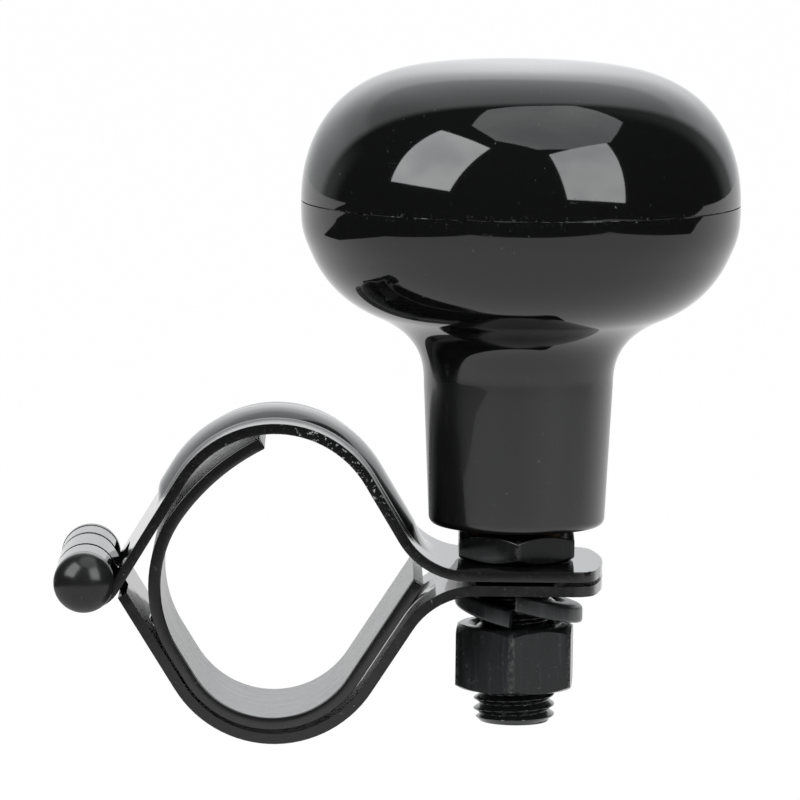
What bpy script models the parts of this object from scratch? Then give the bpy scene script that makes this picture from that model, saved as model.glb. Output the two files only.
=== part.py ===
"""Steering wheel spinner knob.

A hollow two-piece knob turns on two small ball bearings round an upright spindle bolt.
The bolt stands on the tabs of a hinged sheet-metal clamp that closes round a wheel rim:
an arched upper strap, a bowl-shaped lower strap, a hinge pin through their rolled
knuckles, a soft liner, a spring washer and a nut.

Frame: the origin is the middle of the rim opening, on the plane where the clamp splits.
+X runs from the hinge to the knob, +Y along the hinge pin, +Z up the knob's axis.
"""

from math import acos, atan2, cos, hypot, pi, radians, sin, sqrt, tan

import bmesh
import bpy
from mathutils import Matrix, Vector

MM = 0.001

# Sheet straps of the clamp
STRAP_T = 1.25 * MM
STRAP_W = 22.3 * MM
SPLIT_GAP = 0.5 * MM
LOOP_H = 36.45 * MM
ARCH_TAPER = 0.2 * MM
ARCH_SLOPE = radians(58.9)
ARCH_FOOT_R = 9.7 * MM
BOWL_R = 12.8 * MM
BOWL_DEPTH = 18.55 * MM
BOWL_SLOPE = radians(57.2)
BOWL_FOOT_R = 10.4 * MM
BOLT_SETBACK = 4.858 * MM
TAB_REACH = 10.55 * MM
TAB_END_R = 36 * MM
TAB_CORNER_R = 2 * MM

# Stiffening rib pressed along the middle of each strap
RIB_H = 1 * MM
RIB_WALL = 2.4 * MM
RIB_RUN_OUT = 2.4 * MM
ARCH_RIB_END = 2.6 * MM
BOWL_RIB_END = 6 * MM

# Hinge with rolled knuckles on a riveted pin
HINGE_Z = -0.15 * MM
KNUCKLE_R = 2.98 * MM
KNUCKLE_SET = 3.568 * MM
KNUCKLE_TURN = radians(300)
KNUCKLE_MIDDLE_W = 8.5 * MM
KNUCKLE_GAP = 1 * MM
ROLL_ENTRY = radians(60)
NOTCH_REACH = 4.8 * MM
SHOULDER_REACH = 3.9 * MM
PIN_R = 2.2 * MM
PIN_HEAD_R = 3.65 * MM
PIN_HEAD_RIM = 1.7 * MM
PIN_HEAD_DOME = 2.2 * MM
PIN_HEAD_GAP = 0.15 * MM

# Soft liner between the clamp and the rim
LINER_T = 1.5 * MM
LINER_W = 21.8 * MM
LINER_GAP = 0.4 * MM
LINER_SHIFT = 0.25 * MM
LINER_RISE = 3.8 * MM
LINER_SIDE_GAP = 0.385 * MM
LINER_TIP_R = 27.5 * MM
LINER_SIDE_TURN = radians(145)
LINER_TIP_TURN = radians(116.9)
LINER_END_GAP = 0.4 * MM

# Spindle bolt, with its hexagon collar above the tabs and its shank below
SEAT_GAP = 0.1 * MM
SHANK_R = 4.93 * MM
SHANK_CHAMFER = 0.8 * MM
SHANK_END_Z = -18.45 * MM
SHANK_FIT = 0.3 * MM
JAW_HOLE_FIT = 0.65 * MM
HEX_AF = 14 * MM
HEX_CHAMFER = radians(30)
HEX_FACE_SHARE = 0.95
COLLAR_TOP_SHARE = 0.85
COLLAR_H = 4 * MM
SPINDLE_R = 4 * MM
SHOULDER_R = 4.95 * MM
SPINDLE_PROUD = 1.6 * MM

# Ball bearings, 8 x 16 x 5
BEARING_BORE_R = 4.1 * MM
BEARING_R = 8 * MM
BEARING_W = 5 * MM
BALL_R = 1.2 * MM
BALL_COUNT = 7
GROOVE_FIT = 0.15 * MM
RACE_LAND = 0.95 * MM
CAGE_FIT = 0.3 * MM
CAGE_BACK = 2 * MM
CAGE_LIP = 0.35 * MM
UPPER_BEARING_RISE = 14 * MM
LOWER_BEARING_INSET = 1 * MM
SPACER_R = 4.9 * MM

# Lock nut and washer on top of the spindle
TOP_WASHER_R = 6.2 * MM
TOP_WASHER_T = 1 * MM
LOCK_NUT_AF = 13 * MM
LOCK_NUT_H = 6.5 * MM

# Knob, a cap snapped on a bowl with a long stem
KNOB_R = 26.67 * MM
CAP_H = 16.95 * MM
CAP_SIDE_POWER = 3.6
CAP_TOP_POWER = 2.1
BOWL_SIDE_POWER = 3.6
BOWL_BASE_POWER = 2
KNOB_BOWL_H = 15.8 * MM
KNOB_WALL = 2.4 * MM
BOWL_END_R = 17.6 * MM
NECK_R = 11.5 * MM
NECK_DROP = 22 * MM
NECK_PULL = 4.2 * MM
STEM_R = 10.72 * MM
STEM_CORNER = 1 * MM
STEM_LENGTH = 39.4 * MM
STEM_GAP = 0.25 * MM
STEM_STEP_R = 7.2 * MM
PARTING_GAP = 0.12 * MM
PARTING_CHAMFER = 0.22 * MM
SPIGOT_W = 1.7 * MM
SPIGOT_DEPTH = 3 * MM
SPIGOT_FIT = 0.55 * MM

# Spring washer and nut under the lower tab
WASHER_R = 7.8 * MM
WASHER_BORE_R = 5.45 * MM
WASHER_T = 2.2 * MM
WASHER_RISE = 2.2 * MM
WASHER_SPLIT = radians(5)
WASHER_SPLIT_TURN = radians(-97)
WASHER_TILT = radians(11.5)
WASHER_DROP = 0.25 * MM
WASHER_SHIFT = 0.43 * MM
WASHER_EDGE = 0.5 * MM
CLAMP_NUT_H = 7.8 * MM
CLAMP_NUT_TURN = radians(-4)
CLAMP_NUT_FOOT_SHARE = 1.0
NUT_FIT = 0.2 * MM
NUT_COUNTERSINK = 0.45 * MM

# Facets round each kind of turned piece
KNOB_FACETS = 36
SPINDLE_FACETS = 24
BEARING_FACETS = 24
PIN_FACETS = 20
WASHER_FACETS = 28
CAGE_POCKET_FACETS = 10

# Places along the clamp that follow from the sizes above; a lean is how far a leg's normal turns from X
ARCH_R = BOWL_R - ARCH_TAPER
ARCH_Z = LOOP_H - BOWL_DEPTH - ARCH_R
BOWL_Z = BOWL_R - BOWL_DEPTH
ARCH_LEAN = pi / 2 - ARCH_SLOPE
BOWL_LEAN = pi / 2 - BOWL_SLOPE
UPPER_FOOT_Z = SPLIT_GAP / 2 + ARCH_FOOT_R
LOWER_FOOT_Z = -SPLIT_GAP / 2 - BOWL_FOOT_R
UPPER_FOOT_X = (ARCH_R + ARCH_FOOT_R - sin(ARCH_LEAN) * (UPPER_FOOT_Z - ARCH_Z)) / cos(ARCH_LEAN)
LOWER_FOOT_X = (BOWL_R + BOWL_FOOT_R + sin(BOWL_LEAN) * (LOWER_FOOT_Z - BOWL_Z)) / cos(BOWL_LEAN)
KNOB_X = LOWER_FOOT_X + BOLT_SETBACK
LEG_REACH = ARCH_R + STRAP_T / 2 + KNUCKLE_SET
HINGE_X = -(LEG_REACH - sin(ARCH_LEAN) * (HINGE_Z - ARCH_Z)) / cos(ARCH_LEAN)

# Levels that follow from the sizes above
TAB_TOP_Z = SPLIT_GAP / 2 + STRAP_T
COLLAR_Z = TAB_TOP_Z + SEAT_GAP
COLLAR_TOP_Z = COLLAR_Z + COLLAR_H
STEM_Z = COLLAR_TOP_Z + STEM_GAP
PARTING_Z = STEM_Z + STEM_LENGTH
LOWER_BEARING_Z = STEM_Z + LOWER_BEARING_INSET + BEARING_W / 2
UPPER_BEARING_Z = LOWER_BEARING_Z + UPPER_BEARING_RISE
TOP_WASHER_Z = UPPER_BEARING_Z + BEARING_W / 2 + SEAT_GAP
LOCK_NUT_Z = TOP_WASHER_Z + TOP_WASHER_T + SEAT_GAP
SPINDLE_TOP_Z = LOCK_NUT_Z + LOCK_NUT_H + SPINDLE_PROUD
WASHER_TOP_Z = -TAB_TOP_Z - SEAT_GAP - WASHER_DROP
WASHER_LOW_Z = WASHER_TOP_Z - WASHER_T - WASHER_RISE
CLAMP_NUT_TOP_Z = WASHER_LOW_Z - SEAT_GAP
PITCH_R = (BEARING_BORE_R + BEARING_R) / 2
KNUCKLE_FULL_W = KNUCKLE_MIDDLE_W + 2 * KNUCKLE_GAP


def material(name, color, roughness, metallic=0.0):
    """A plain Principled material."""
    made = bpy.data.materials.new(name)
    made.use_nodes = True
    shader = made.node_tree.nodes["Principled BSDF"]
    shader.inputs["Base Color"].default_value = (*color, 1)
    shader.inputs["Roughness"].default_value = roughness
    shader.inputs["Metallic"].default_value = metallic
    return made


def collection(name):
    made = bpy.data.collections.new(name)
    bpy.context.scene.collection.children.link(made)
    return made


def empty(name, location):
    """An axis or frame that pieces hang on."""
    made = bpy.data.objects.new(name, None)
    made.empty_display_size = 5 * MM
    made.location = location
    PARTS.objects.link(made)
    return made


def place(name, mesh, finish, parent, location=(0, 0, 0), rotation=(0, 0, 0), group=None):
    """An object of this mesh, hung on its axis."""
    if not mesh.materials:
        mesh.materials.append(finish)
    made = bpy.data.objects.new(name, mesh)
    made.parent = parent
    made.location = location
    made.rotation_euler = rotation
    (group or PARTS).objects.link(made)
    return made


def as_cutter(obj):
    """A helper that shapes another piece and isn't one itself."""
    obj.hide_render = True
    obj.display_type = "WIRE"
    return obj


def boolean(obj, cutter, operation="DIFFERENCE"):
    cut = obj.modifiers.new(f"{operation.title()} {cutter.name}", "BOOLEAN")
    cut.operation = operation
    cut.object = cutter


def turned(name, profile, facets, finish, parent, height=0.0, group=None, closed=True):
    """A profile of (radius, height) points, from its top down the outside, turned about Z."""
    mesh = bpy.data.meshes.new(name)
    count = len(profile)
    edges = [(i, (i + 1) % count) for i in range(count if closed else count - 1)]
    mesh.from_pydata([(radius, 0, z) for radius, z in profile], edges, [])
    made = place(name, mesh, finish, parent, (0, 0, height), group=group)
    turn = made.modifiers.new("Turn", "SCREW")
    turn.steps = turn.render_steps = facets
    turn.use_merge_vertices = True
    turn.merge_threshold = 0.00001
    turn.use_smooth_shade = True
    return made


def primitive(name, facets, radius, depth, finish, parent, location, rotation=(0, 0, 0), group=None):
    """A capped cylinder about Z, or a prism where it has few facets."""
    mesh = bpy.data.meshes.new(name)
    form = bmesh.new()
    bmesh.ops.create_cone(form, cap_ends=True, segments=facets, radius1=radius, radius2=radius, depth=depth)
    form.to_mesh(mesh)
    form.free()
    return place(name, mesh, finish, parent, location, rotation, group)


def arc(centre, radius, start, end, count):
    """Points of an arc in the X-Z plane, both ends included."""
    turns = [start + (end - start) * i / count for i in range(count + 1)]
    return [(centre[0] + radius * cos(t), centre[1] + radius * sin(t)) for t in turns]


def beyond(point, direction, length):
    return (point[0] + direction[0] * length, point[1] + direction[1] * length)


def bezier(start, start_pull, end, end_pull, count):
    """Points between two ends of a curve, without the first."""
    points = []
    for i in range(1, count + 1):
        t = i / count
        weights = ((1 - t) ** 3, 3 * t * (1 - t) ** 2, 3 * t * t * (1 - t), t**3)
        corners = (start, start_pull, end_pull, end)
        points.append(tuple(sum(w * c[k] for w, c in zip(weights, corners)) for k in (0, 1)))
    return points


# Clamp straps: a bent sheet follows a path of (x, z, rib) stations, and its width is split
# into strips by the rib and the knuckle notch.


def stations(points, ribs=0.0):
    """Points of a path, each with the share of the rib's height that it carries."""
    if not isinstance(ribs, (list, tuple)):
        ribs = [ribs] * len(points)
    return [(x, z, rib) for (x, z), rib in zip(points, ribs)]


def path_normals(path, side):
    """Unit normals of a path, on the outer side of the strap."""
    normals = []
    for i in range(len(path)):
        before, after = path[max(i - 1, 0)], path[min(i + 1, len(path) - 1)]
        dx, dz = after[0] - before[0], after[1] - before[1]
        length = hypot(dx, dz)
        normals.append((side * dz / length, -side * dx / length))
    return normals


def tab_end(y):
    """How far the tab reaches past the bolt at this place in its width."""
    return TAB_REACH - (TAB_END_R - sqrt(TAB_END_R**2 - y * y))


def strap(name, path, side, lines, keep, origin, finish, parent):
    """A bent strap. lines holds (y, on_rib), and keep(station, strip) says which strips are there."""
    mesh = bpy.data.meshes.new(name)
    sheet = bmesh.new()
    normals = path_normals(path, side)
    rows = []
    for i, (x, z, rib) in enumerate(path):
        row = []
        for y, on_rib in lines:
            lift = rib * RIB_H * on_rib
            reach = KNOB_X + tab_end(y) if i == 0 else x
            point = Vector((reach + lift * normals[i][0], y, z + lift * normals[i][1]))
            row.append(sheet.verts.new(point - Vector(origin)))
        rows.append(row)
    for i in range(len(rows) - 1):
        for strip in range(len(lines) - 1):
            if keep(i, strip):
                a, b = rows[i], rows[i + 1]
                sheet.faces.new((a[strip], a[strip + 1], b[strip + 1], b[strip]))
    loose = [v for v in sheet.verts if not v.link_faces]
    bmesh.ops.delete(sheet, geom=loose, context="VERTS")
    bmesh.ops.recalc_face_normals(sheet, faces=sheet.faces)
    sheet.verts.index_update()
    corners = [rows[0][0].index, rows[0][-1].index]
    sheet.to_mesh(mesh)
    sheet.free()
    made = place(name, mesh, finish, parent)
    made.vertex_groups.new(name="tab_corners").add(corners, 1.0, "REPLACE")
    rounding = made.modifiers.new("Tab corners", "BEVEL")
    rounding.affect = "VERTICES"
    rounding.limit_method = "VGROUP"
    rounding.vertex_group = "tab_corners"
    rounding.width = TAB_CORNER_R
    rounding.segments = 4
    gauge = made.modifiers.new("Gauge", "SOLIDIFY")
    gauge.thickness = STRAP_T
    gauge.offset = 0
    gauge.use_even_offset = True
    return made


def strap_lines(knuckle_w):
    """Places across the width: the edges, the knuckle's edges, which are the rib's foot, and its top."""
    half, foot, top = STRAP_W / 2, knuckle_w / 2, knuckle_w / 2 - RIB_WALL
    return [(-half, 0), (-foot, 0), (-top, 1), (top, 1), (foot, 0), (half, 0)]


def knuckle_roll(normal, turn_sense, offset, hinge):
    """A knuckle's roll from the end of a leg, with an entry bend where the leg lies further out."""
    start = atan2(normal[1], normal[0])
    points = []
    if offset > KNUCKLE_R * 1.001:
        entry_r = KNUCKLE_R + (offset - KNUCKLE_R) / (1 - cos(ROLL_ENTRY))
        meet = start + turn_sense * ROLL_ENTRY
        centre = beyond(hinge, (cos(meet), sin(meet)), KNUCKLE_R - entry_r)
        points += arc(centre, entry_r, start, meet, 3)[:-1]
        start_roll, rest = meet, KNUCKLE_TURN - ROLL_ENTRY
    else:
        start_roll, rest = start, KNUCKLE_TURN
    points += arc(hinge, KNUCKLE_R, start_roll, start_roll + turn_sense * rest, 13)
    return points


def upper_strap_path():
    """From the tab's end over the arch to the rolled knuckle, along the middle of the sheet."""
    tab_z = SPLIT_GAP / 2 + STRAP_T / 2
    arch_r = ARCH_R + STRAP_T / 2
    foot_r = ARCH_FOOT_R - STRAP_T / 2
    arch = (0, ARCH_Z)
    lean = ARCH_LEAN
    out = (cos(lean), sin(lean))
    foot_ribs = [0, 0, 0, 0.35, 0.85, 1]
    path = [(KNOB_X + TAB_REACH, tab_z, 0)]
    path += stations(arc((UPPER_FOOT_X, UPPER_FOOT_Z), foot_r, -pi / 2, lean - pi, 5), foot_ribs)
    path += stations(arc(arch, arch_r, lean, pi - lean, 12), 1)
    down = (-sin(lean), -cos(lean))
    spring = path[-1][:2]
    path += stations([beyond(spring, down, ARCH_RIB_END)], 1)
    path += stations([beyond(spring, down, ARCH_RIB_END + RIB_RUN_OUT)], 0)
    left = (-out[0], out[1])
    hinge = (HINGE_X, HINGE_Z)
    leg_end = beyond(hinge, left, -KNUCKLE_SET)
    path += stations([beyond(leg_end, down, -NOTCH_REACH)])
    notch = len(path) - 1
    path += stations(knuckle_roll((-left[0], -left[1]), -1, KNUCKLE_SET, hinge))
    return path, notch


def bowl_leg_turn():
    """Direction square to the lower strap's left leg, which runs from the bowl into the knuckle."""
    to_hinge = (HINGE_X, HINGE_Z - BOWL_Z)
    reach = BOWL_R + STRAP_T / 2 + KNUCKLE_R
    return atan2(to_hinge[1], to_hinge[0]) + acos(reach / hypot(*to_hinge))


def lower_strap_path():
    """From the tab's end under the bowl to the rolled knuckle, along the middle of the sheet."""
    tab_z = -SPLIT_GAP / 2 - STRAP_T / 2
    bowl_r = BOWL_R + STRAP_T / 2
    foot_r = BOWL_FOOT_R - STRAP_T / 2
    bowl = (0, BOWL_Z)
    lean = BOWL_LEAN
    hinge = (HINGE_X, HINGE_Z)
    leg_turn = bowl_leg_turn()
    foot_ribs = [0, 0, 0, 0.35, 0.85, 1]
    path = [(KNOB_X + TAB_REACH, tab_z, 0)]
    path += stations(arc((LOWER_FOOT_X, LOWER_FOOT_Z), foot_r, pi / 2, pi - lean, 5), foot_ribs)
    path += stations(arc(bowl, bowl_r, -lean, leg_turn - 2 * pi, 16), 1)
    left = (cos(leg_turn), sin(leg_turn))
    up = (left[1], -left[0])
    spring = path[-1][:2]
    path += stations([beyond(spring, up, BOWL_RIB_END)], 1)
    path += stations([beyond(spring, up, BOWL_RIB_END + RIB_RUN_OUT)], 0)
    leg_end = beyond(hinge, left, -KNUCKLE_R)
    path += stations([beyond(leg_end, up, -SHOULDER_REACH)])
    shoulder = len(path) - 1
    path += stations(knuckle_roll((-left[0], -left[1]), 1, KNUCKLE_R, hinge))
    return path, shoulder


def tab_hole(name, radius, z, parent):
    """The cutter of a bolt hole through one tab."""
    depth = 4 * STRAP_T
    return as_cutter(
        primitive(name, SPINDLE_FACETS, radius, depth, STEEL, parent, (KNOB_X, 0, z), group=CUTTERS)
    )


def build_upper_strap():
    path, notch = upper_strap_path()
    made = strap(
        "upper_strap",
        path,
        1,
        strap_lines(KNUCKLE_FULL_W),
        lambda station, strip: station < notch or strip in (0, 4),
        (0, 0, 0),
        BLACK_PLATE,
        CLAMP,
    )
    boolean(made, tab_hole("upper_tab_hole", SHANK_R + SHANK_FIT, SPLIT_GAP / 2, CLAMP))


def build_lower_strap():
    path, shoulder = lower_strap_path()
    made = strap(
        "lower_strap",
        path,
        -1,
        strap_lines(KNUCKLE_MIDDLE_W),
        lambda station, strip: station < shoulder or 0 < strip < 4,
        (HINGE_X, 0, HINGE_Z),
        BLACK_PLATE,
        JAW,
    )
    boolean(made, tab_hole("lower_tab_hole", SHANK_R + JAW_HOLE_FIT, -SPLIT_GAP / 2, None))


def build_hinge_pin():
    """A pin along Y with a domed head riveted on each end."""
    dome_r = (PIN_HEAD_R**2 + PIN_HEAD_DOME**2) / (2 * PIN_HEAD_DOME)
    half = STRAP_W / 2 + PIN_HEAD_GAP
    rim = half + PIN_HEAD_RIM
    edge = atan2(dome_r - PIN_HEAD_DOME, PIN_HEAD_R)
    dome = arc((0, rim + PIN_HEAD_DOME - dome_r), dome_r, pi / 2, edge, 4)
    top = dome + [(PIN_HEAD_R, half), (PIN_R, half)]
    profile = top + [(radius, -z) for radius, z in reversed(top)]
    profile[0] = (0, profile[0][1])
    profile[-1] = (0, profile[-1][1])
    made = turned("hinge_pin", profile, PIN_FACETS, BLACK_PLATE, CLAMP, closed=False)
    made.location = (HINGE_X, 0, HINGE_Z)
    made.rotation_euler = (pi / 2, 0, 0)


def build_rim_liner():
    """A soft strip bent to a C: over the tip, down the hinge side, round the bowl, up to the tabs."""
    bowl = Vector((-LINER_SHIFT, BOWL_Z))
    bowl_r = BOWL_R - LINER_GAP - LINER_T / 2
    leg_turn = bowl_leg_turn()
    across = Vector((cos(leg_turn), sin(leg_turn)))
    up = Vector((across.y, -across.x))
    arch = Vector((0, ARCH_Z))
    spring = bowl + LINER_RISE * up
    hinge_leg = Vector((-cos(ARCH_LEAN), sin(ARCH_LEAN)))
    room = ARCH_R - LINER_SIDE_GAP - LINER_T / 2 - hinge_leg.dot(spring - arch)
    lean_share = hinge_leg.dot(across)
    side_r = (room - lean_share * bowl_r) / (1 - lean_share)
    side = spring - (side_r - bowl_r) * across
    split = Vector((cos(LINER_SIDE_TURN), sin(LINER_SIDE_TURN)))
    tip = side - (LINER_TIP_R - side_r) * split
    rise = Vector((sin(BOWL_LEAN), cos(BOWL_LEAN)))
    knob_leg = Vector((cos(ARCH_LEAN), sin(ARCH_LEAN)))
    points = arc(tip, LINER_TIP_R, LINER_TIP_TURN, LINER_SIDE_TURN, 4)
    points += arc(side, side_r, LINER_SIDE_TURN, leg_turn, 8)[1:]
    points += arc(bowl, bowl_r, leg_turn, 2 * pi - BOWL_LEAN, 14)
    reach = ARCH_R - LINER_END_GAP - knob_leg.dot(Vector(points[-1]) - arch)
    points += [beyond(points[-1], rise, reach / knob_leg.dot(rise))]
    mesh = bpy.data.meshes.new("rim_liner")
    sheet = bmesh.new()
    rows = [
        [sheet.verts.new((x - HINGE_X, y, z - HINGE_Z)) for y in (-LINER_W / 2, LINER_W / 2)]
        for x, z in points
    ]
    for a, b in zip(rows, rows[1:]):
        sheet.faces.new((a[0], a[1], b[1], b[0]))
    sheet.to_mesh(mesh)
    sheet.free()
    made = place("rim_liner", mesh, SOFT_BLACK, JAW)
    wall = made.modifiers.new("Wall", "SOLIDIFY")
    wall.thickness = LINER_T
    wall.offset = 0
    wall.use_even_offset = True


def hexagon(name, across_flats, height, base_z, turn, finish, parent, shares, group=None):
    """A hexagon prism with its corners turned off; shares gives the flat left on its top and foot."""
    corner_r = across_flats / sqrt(3)
    middle = base_z + height / 2
    made = primitive(
        name, 6, corner_r, height, finish, parent, (0, 0, middle), (0, 0, turn), group
    )
    spread = 1.1 * corner_r
    ends = []
    for share in shares:
        face_r = share * across_flats / 2
        drop = (spread - face_r) * tan(HEX_CHAMFER)
        ends.append([(0, height / 2), (face_r, height / 2), (spread, height / 2 - drop)])
    profile = ends[0] + [(radius, -z) for radius, z in reversed(ends[1])]
    cone = turned(f"{name}_cone", profile, SPINDLE_FACETS, STEEL, parent, middle, CUTTERS, closed=False)
    boolean(made, as_cutter(cone), "INTERSECT")
    return made


def build_spindle_bolt():
    """One turned bolt: shank, hexagon collar, shoulder, bearing spindle and threaded top."""
    chamfer = SHANK_CHAMFER
    race_z = LOWER_BEARING_Z - BEARING_W / 2 - SEAT_GAP
    core_r = HEX_AF / 2 - 0.8 * MM
    overlap = 0.4 * MM
    profile = [
        (0, SPINDLE_TOP_Z),
        (SPINDLE_R - chamfer, SPINDLE_TOP_Z),
        (SPINDLE_R, SPINDLE_TOP_Z - chamfer),
        (SPINDLE_R, race_z),
        (SHOULDER_R, race_z),
        (SHOULDER_R, COLLAR_TOP_Z - overlap),
        (core_r, COLLAR_TOP_Z - overlap),
        (core_r, COLLAR_Z + overlap),
        (SHANK_R, COLLAR_Z + overlap),
        (SHANK_R, SHANK_END_Z + chamfer),
        (SHANK_R - chamfer, SHANK_END_Z),
        (0, SHANK_END_Z),
    ]
    made = turned("spindle_bolt", profile, SPINDLE_FACETS, STEEL, KNOB_AXIS, closed=False)
    shares = (COLLAR_TOP_SHARE, HEX_FACE_SHARE)
    collar = hexagon(
        "bolt_collar", HEX_AF, COLLAR_H, COLLAR_Z, 0, STEEL, KNOB_AXIS, shares, CUTTERS
    )
    boolean(made, as_cutter(collar), "UNION")


def ring(name, outer_r, inner_r, low_z, high_z, facets, finish, parent):
    """A plain ring, such as a washer or a spacer."""
    profile = [(outer_r, high_z), (outer_r, low_z), (inner_r, low_z), (inner_r, high_z)]
    return turned(name, profile, facets, finish, parent)


def race_groove(sign):
    """Half section of a ball groove; sign is 1 for the inner race's outside, -1 for the outer's inside."""
    radius = BALL_R + GROOVE_FIT
    half = acos(RACE_LAND / radius)
    middle = pi if sign > 0 else 0
    return arc((PITCH_R, 0), radius, middle - half, middle + half, 3)


def build_bearing(name, height, cage_axis):
    """Two races, a crown cage and its balls."""
    half = BEARING_W / 2
    land_in, land_out = PITCH_R - RACE_LAND, PITCH_R + RACE_LAND
    inner = [(land_in, half), *race_groove(1), (land_in, -half)]
    inner += [(BEARING_BORE_R, -half), (BEARING_BORE_R, half)]
    turned(f"{name}_inner_race", inner, BEARING_FACETS, STEEL, KNOB_AXIS, height)
    outer = [(BEARING_R, half), (BEARING_R, -half), (land_out, -half)]
    outer += [*race_groove(-1), (land_out, half)]
    turned(f"{name}_outer_race", outer, BEARING_FACETS, STEEL, KNOB_AXIS, height)
    inside, outside = land_in + CAGE_FIT, land_out - CAGE_FIT
    cage = ring(
        f"{name}_cage", outside, inside, -CAGE_BACK, CAGE_LIP, BEARING_FACETS, BRASS, cage_axis
    )
    pockets = bpy.data.meshes.new(f"{name}_pockets")
    cuts = bmesh.new()
    turns = [2 * pi * i / BALL_COUNT for i in range(BALL_COUNT)]
    for turn in turns:
        lie = Matrix.Rotation(turn, 4, "Z") @ Matrix.Translation((PITCH_R, 0, 0))
        bmesh.ops.create_cone(
            cuts,
            cap_ends=True,
            segments=CAGE_POCKET_FACETS,
            radius1=BALL_R + GROOVE_FIT,
            radius2=BALL_R + GROOVE_FIT,
            depth=3 * (outside - inside),
            matrix=lie @ Matrix.Rotation(pi / 2, 4, "Y"),
        )
    cuts.to_mesh(pockets)
    cuts.free()
    boolean(cage, as_cutter(place(f"{name}_pockets", pockets, BRASS, cage_axis, group=CUTTERS)))
    ball = bpy.data.meshes.new("ball")
    sphere = bmesh.new()
    bmesh.ops.create_icosphere(sphere, subdivisions=2, radius=BALL_R)
    sphere.to_mesh(ball)
    sphere.free()
    ball.shade_smooth()
    for i, turn in enumerate(turns):
        location = (PITCH_R * cos(turn), PITCH_R * sin(turn), 0)
        place(f"{name}_ball_{i + 1}", ball, STEEL, cage_axis, location, (0, 0, turn))


def cap_outline(radius, height, side_power, top_power, count):
    """A squarish dome from its top to its rim: (r / radius)^side + (z / height)^top = 1."""
    turns = [pi / 2 * (1 - i / count) for i in range(count + 1)]
    return [
        (radius * max(cos(t), 0) ** (2 / side_power), height * max(sin(t), 0) ** (2 / top_power))
        for t in turns
    ]


def build_knob_cap():
    """A dome with a spigot that snaps inside the bowl's rim."""
    outer = cap_outline(KNOB_R, CAP_H, CAP_SIDE_POWER, CAP_TOP_POWER, 10)
    outer[0] = (0, CAP_H)
    outer[-1] = (KNOB_R, PARTING_GAP / 2 + PARTING_CHAMFER)
    spigot_r = KNOB_R - KNOB_WALL - SPIGOT_FIT
    inner = cap_outline(
        spigot_r - SPIGOT_W, CAP_H - KNOB_WALL, CAP_SIDE_POWER, CAP_TOP_POWER, 5
    )
    inner[0] = (0, CAP_H - KNOB_WALL)
    profile = outer + [
        (KNOB_R - PARTING_CHAMFER, PARTING_GAP / 2),
        (spigot_r, PARTING_GAP / 2),
        (spigot_r, -SPIGOT_DEPTH),
        (spigot_r - SPIGOT_W, -SPIGOT_DEPTH),
    ]
    profile += reversed(inner)
    turned("knob_cap", profile, KNOB_FACETS, GLOSS_BLACK, KNOB_AXIS, PARTING_Z, closed=False)


def bowl_half(radius, depth, end_r, count):
    """Points of the bowl from its rim inwards to end_r, below the parting plane."""
    full = acos((end_r / radius) ** (BOWL_SIDE_POWER / 2))
    points = []
    for i in range(count + 1):
        turn = full * i / count
        points.append(
            (radius * cos(turn) ** (2 / BOWL_SIDE_POWER), -depth * sin(turn) ** (2 / BOWL_BASE_POWER))
        )
    return points


def neck(bowl_end, before, neck_r, neck_drop, count):
    """The fillet from the bowl down into the stem."""
    slope = Vector(bowl_end) - Vector(before)
    start_pull = Vector(bowl_end) + slope.normalized() * NECK_PULL
    end_pull = (neck_r, -neck_drop + NECK_PULL)
    return bezier(bowl_end, start_pull, (neck_r, -neck_drop), end_pull, count)


def build_knob_body():
    """The lower bowl and its stem, bored for the bearings."""
    outer = bowl_half(KNOB_R, KNOB_BOWL_H, BOWL_END_R, 8)
    outer += neck(outer[-1], outer[-2], NECK_R, NECK_DROP, 6)
    rim = [(KNOB_R - PARTING_CHAMFER, -PARTING_GAP / 2)]
    outer[0] = (KNOB_R, -PARTING_GAP / 2 - PARTING_CHAMFER)
    corner = (STEM_R - STEM_CORNER, -STEM_LENGTH + STEM_CORNER)
    foot = arc(corner, STEM_CORNER, 0, -pi / 2, 2)
    seat_r = BEARING_R + SEAT_GAP
    lower_top = LOWER_BEARING_Z + BEARING_W / 2 + SEAT_GAP - PARTING_Z
    upper_low = UPPER_BEARING_Z - BEARING_W / 2 - SEAT_GAP - PARTING_Z
    upper_top = UPPER_BEARING_Z + BEARING_W / 2 + SEAT_GAP - PARTING_Z
    bores = [
        (seat_r, -STEM_LENGTH),
        (seat_r, lower_top),
        (STEM_STEP_R, lower_top),
        (STEM_STEP_R, upper_low),
        (seat_r, upper_low),
        (seat_r, upper_top),
    ]
    inner = bowl_half(KNOB_R - KNOB_WALL, KNOB_BOWL_H - KNOB_WALL, BOWL_END_R - KNOB_WALL, 4)
    inner += neck(inner[-1], inner[-2], seat_r + KNOB_WALL / 4, -upper_top, 2)
    inner[0] = (KNOB_R - KNOB_WALL, -PARTING_GAP / 2)
    profile = rim + outer + foot + bores + inner[::-1]
    turned("knob_body", profile, KNOB_FACETS, GLOSS_BLACK, KNOB_AXIS, PARTING_Z)


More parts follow.
